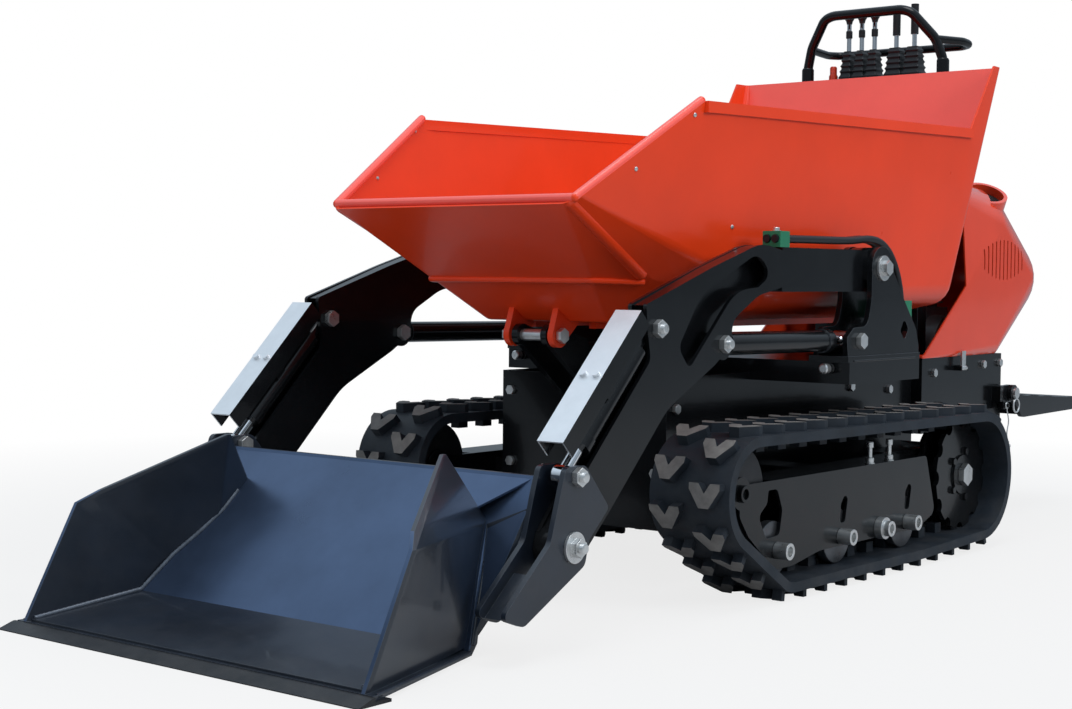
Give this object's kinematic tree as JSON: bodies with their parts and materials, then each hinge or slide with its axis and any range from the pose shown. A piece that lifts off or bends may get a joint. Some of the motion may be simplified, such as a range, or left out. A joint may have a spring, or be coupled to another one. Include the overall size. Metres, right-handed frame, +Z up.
{
  "type": "tracked power carrier",
  "caption": "Compact tracked carrier with a self-loading front bucket on gooseneck arms, a forward-tipping skip, a rear engine under a hood, control levers and a ride-on footboard.",
  "frame": {"origin": "on the ground under the middle of the machine", "axes": "+Y to the rear (operator) end, +X to the operator's left, +Z up; the bucket faces -Y"},
  "size_m": [0.96, 3.09, 1.352],
  "materials": {
    "black_paint": "gloss black paint",
    "red_paint": "gloss orange-red paint",
    "red_plastic": "gloss orange-red moulding",
    "slate_paint": "dark slate paint",
    "zinc": "zinc plated",
    "galvanised": "galvanised sheet",
    "chrome": "hard chrome",
    "track_rubber": "matt rubber",
    "hose_rubber": "matt rubber",
    "green_plastic": "matt green",
    "black_plastic": "matt black",
    "iron": "dark cast iron",
    "engine_metal": "cast alloy"
  },
  "bodies": {
    "carrier": {"chassis_frame": "black_paint", "arm_towers": "black_paint", "track_frame_left": "black_paint", "track_frame_right": "black_paint", "track_belt_left": "track_rubber", "track_belt_right": "track_rubber", "track_axles": "zinc", "drive_motors": "black_paint", "pivot_pins": "zinc", "chassis_bolts": "zinc", "tower_hose_clamps": "green_plastic", "arm_hoses": "hose_rubber", "engine": "engine_metal", "oil_tank": "black_plastic", "control_column": "black_paint", "valve_bank": "iron", "lever_boots": "hose_rubber", "handle_guard": "black_paint", "footboard_pins": "zinc"},
    "loader_arms": {"loader_arm_left": "black_paint", "loader_arm_right": "black_paint", "arm_pins": "zinc", "arm_hose_clamps": "green_plastic"},
    "lift_rods": {"lift_rod_left": "chrome", "lift_rod_right": "chrome"},
    "lift_barrels": {"lift_barrel_left": "black_paint", "lift_barrel_right": "black_paint"},
    "tilt_barrels": {"tilt_barrel_left": "black_paint", "tilt_barrel_right": "black_paint", "tilt_cover_left": "galvanised", "tilt_cover_right": "galvanised"},
    "tilt_rods": {"tilt_rod_left": "chrome", "tilt_rod_right": "chrome"},
    "bucket": {"bucket_shell": "slate_paint", "bucket_edge": "iron", "bucket_brackets": "slate_paint", "bucket_pins": "zinc"},
    "skip_body": {"skip": "red_paint"},
    "dump_barrel_body": {"dump_barrel": "black_paint"},
    "dump_rod_body": {"dump_rod": "chrome"},
    "hood": {"engine_hood": "red_plastic"},
    "latch_left": {"hood_latch_left": "zinc"},
    "latch_right": {"hood_latch_right": "zinc"},
    "lever_1_body": {"lever_1": "black_plastic"},
    "lever_2_body": {"lever_2": "black_plastic"},
    "lever_3_body": {"lever_3": "black_plastic"},
    "lever_4_body": {"lever_4": "black_plastic"},
    "lever_5_body": {"lever_5": "black_plastic"},
    "step": {"footboard": "black_paint"},
    "lanyard": {"lanyard_pin": "zinc"},
    "sprocket_l": {"sprocket_left": "iron"},
    "sprocket_r": {"sprocket_right": "iron"},
    "idler_l": {"idler_left": "iron"},
    "idler_r": {"idler_right": "iron"},
    "roller_fl": {"roller_front_left": "iron"},
    "roller_fr": {"roller_front_right": "iron"},
    "roller_ml": {"roller_middle_left": "iron"},
    "roller_mr": {"roller_middle_right": "iron"},
    "roller_rl": {"roller_rear_left": "iron"},
    "roller_rr": {"roller_rear_right": "iron"}
  },
  "joints": [
    {"name": "loader_lift", "type": "hinge", "parent": "carrier", "child": "loader_arms", "pos_m": [0, 0.026, 0.657], "axis": [-1, 0, 0], "range_deg": [0, 85], "deforming": ["arm_hoses"]},
    {"name": "lift_rod_swing", "type": "hinge", "parent": "carrier", "child": "lift_rods", "pos_m": [0, -0.07, 0.504], "axis": [-1, 0, 0], "range_deg": [0, 81.5]},
    {"name": "lift_barrel_slide", "type": "slide", "parent": "lift_rods", "child": "lift_barrels", "axis": [0, -0.9999, 0.0102], "range_m": [0, 0.2412]},
    {"name": "bucket_tilt", "type": "hinge", "parent": "loader_arms", "child": "bucket", "pos_m": [0, -1.036, 0.18], "axis": [1, 0, 0], "range_deg": [0, 75]},
    {"name": "tilt_barrel_swing", "type": "hinge", "parent": "loader_arms", "child": "tilt_barrels", "pos_m": [0, -0.78, 0.542], "axis": [1, 0, 0], "range_deg": [-3.5, 0]},
    {"name": "tilt_rod_slide", "type": "slide", "parent": "tilt_barrels", "child": "tilt_rods", "axis": [0, -0.7114, -0.7028], "range_m": [0, 0.1425]},
    {"name": "skip_tip", "type": "hinge", "parent": "carrier", "child": "skip_body", "pos_m": [0, -0.588, 0.515], "axis": [-1, 0, 0], "range_deg": [-60, 0]},
    {"name": "dump_barrel_swing", "type": "hinge", "parent": "carrier", "child": "dump_barrel_body", "pos_m": [0, -0.37467, 0.1555], "axis": [-1, 0, 0], "range_deg": [-30, 0]},
    {"name": "dump_rod_swing", "type": "hinge", "parent": "skip_body", "child": "dump_rod_body", "pos_m": [0, -0.17, 0.52], "axis": [-1, 0, 0], "range_deg": [0, 30]},
    {"name": "hood_open", "type": "hinge", "parent": "carrier", "child": "hood", "pos_m": [0, 1.117, 0.43], "axis": [-1, 0, 0], "range_deg": [0, 35]},
    {"name": "latch_left_open", "type": "hinge", "parent": "carrier", "child": "latch_left", "pos_m": [0.263, 0.834, 0.408], "axis": [0, 1, 0], "range_deg": [0, 100]},
    {"name": "latch_right_open", "type": "hinge", "parent": "carrier", "child": "latch_right", "pos_m": [-0.263, 0.834, 0.408], "axis": [0, -1, 0], "range_deg": [0, 100]},
    {"name": "lever_1_move", "type": "hinge", "parent": "carrier", "child": "lever_1_body", "pos_m": [-0.1, 0.87, 1.178], "axis": [1, 0, 0], "range_deg": [-15, 15], "stiffness_Nm_per_rad": 3, "deforming": ["lever_boots"]},
    {"name": "lever_2_move", "type": "hinge", "parent": "carrier", "child": "lever_2_body", "pos_m": [-0.062, 0.87, 1.178], "axis": [1, 0, 0], "range_deg": [-15, 15], "stiffness_Nm_per_rad": 3, "deforming": ["lever_boots"]},
    {"name": "lever_3_move", "type": "hinge", "parent": "carrier", "child": "lever_3_body", "pos_m": [-0.024, 0.87, 1.178], "axis": [1, 0, 0], "range_deg": [-15, 15], "stiffness_Nm_per_rad": 3, "deforming": ["lever_boots"]},
    {"name": "lever_4_move", "type": "hinge", "parent": "carrier", "child": "lever_4_body", "pos_m": [0.04, 0.87, 1.178], "axis": [1, 0, 0], "range_deg": [-15, 15], "stiffness_Nm_per_rad": 3, "deforming": ["lever_boots"]},
    {"name": "lever_5_move", "type": "hinge", "parent": "carrier", "child": "lever_5_body", "pos_m": [0.092, 0.87, 1.178], "axis": [1, 0, 0], "range_deg": [-15, 15], "stiffness_Nm_per_rad": 3, "deforming": ["lever_boots"]},
    {"name": "footboard_fold", "type": "hinge", "parent": "carrier", "child": "step", "pos_m": [0, 1.112, 0.332], "axis": [-1, 0, 0], "range_deg": [-28, 0]},
    {"name": "lanyard_swing", "type": "hinge", "parent": "carrier", "child": "lanyard", "pos_m": [0.275, 1.08, 0.3], "axis": [1, 0, 0], "range_deg": [-25, 25]},
    {"name": "sprocket_left_turn", "type": "hinge", "parent": "carrier", "child": "sprocket_l", "pos_m": [0.39, 0.5, 0.175], "axis": [1, 0, 0], "continuous": true},
    {"name": "sprocket_right_turn", "type": "hinge", "parent": "carrier", "child": "sprocket_r", "pos_m": [-0.39, 0.5, 0.175], "axis": [1, 0, 0], "continuous": true},
    {"name": "idler_left_turn", "type": "hinge", "parent": "carrier", "child": "idler_l", "pos_m": [0.39, -0.494, 0.22], "axis": [1, 0, 0], "continuous": true},
    {"name": "idler_right_turn", "type": "hinge", "parent": "carrier", "child": "idler_r", "pos_m": [-0.39, -0.494, 0.22], "axis": [1, 0, 0], "continuous": true},
    {"name": "roller_front_left_turn", "type": "hinge", "parent": "carrier", "child": "roller_fl", "pos_m": [0.39, -0.362, 0.0961], "axis": [1, 0, 0], "continuous": true},
    {"name": "roller_front_right_turn", "type": "hinge", "parent": "carrier", "child": "roller_fr", "pos_m": [-0.39, -0.362, 0.0961], "axis": [1, 0, 0], "continuous": true},
    {"name": "roller_middle_left_turn", "type": "hinge", "parent": "carrier", "child": "roller_ml", "pos_m": [0.39, -0.105, 0.0961], "axis": [1, 0, 0], "continuous": true},
    {"name": "roller_middle_right_turn", "type": "hinge", "parent": "carrier", "child": "roller_mr", "pos_m": [-0.39, -0.105, 0.0961], "axis": [1, 0, 0], "continuous": true},
    {"name": "roller_rear_left_turn", "type": "hinge", "parent": "carrier", "child": "roller_rl", "pos_m": [0.39, 0.19, 0.0961], "axis": [1, 0, 0], "continuous": true},
    {"name": "roller_rear_right_turn", "type": "hinge", "parent": "carrier", "child": "roller_rr", "pos_m": [-0.39, 0.19, 0.0961], "axis": [1, 0, 0], "continuous": true}
  ],
  "couplings": [
    {"joint": "lift_rod_swing", "follows": "loader_lift", "ratio": 0.95724},
    {"joint": "lift_barrel_slide", "follows": "loader_lift", "m_per_rad": 0.16249},
    {"joint": "tilt_barrel_swing", "follows": "bucket_tilt", "ratio": -0.04493},
    {"joint": "tilt_rod_slide", "follows": "bucket_tilt", "m_per_rad": 0.1085},
    {"joint": "dump_barrel_swing", "follows": "skip_tip", "ratio": 0.5},
    {"joint": "dump_rod_swing", "follows": "skip_tip", "ratio": -0.5},
    {"joint": "idler_left_turn", "follows": "sprocket_left_turn", "ratio": 1.3763},
    {"joint": "roller_front_left_turn", "follows": "sprocket_left_turn", "ratio": 2.2069},
    {"joint": "roller_middle_left_turn", "follows": "sprocket_left_turn", "ratio": 2.2069},
    {"joint": "roller_rear_left_turn", "follows": "sprocket_left_turn", "ratio": 2.2069},
    {"joint": "idler_right_turn", "follows": "sprocket_right_turn", "ratio": 1.3763},
    {"joint": "roller_front_right_turn", "follows": "sprocket_right_turn", "ratio": 2.2069},
    {"joint": "roller_middle_right_turn", "follows": "sprocket_right_turn", "ratio": 2.2069},
    {"joint": "roller_rear_right_turn", "follows": "sprocket_right_turn", "ratio": 2.2069}
  ]
}
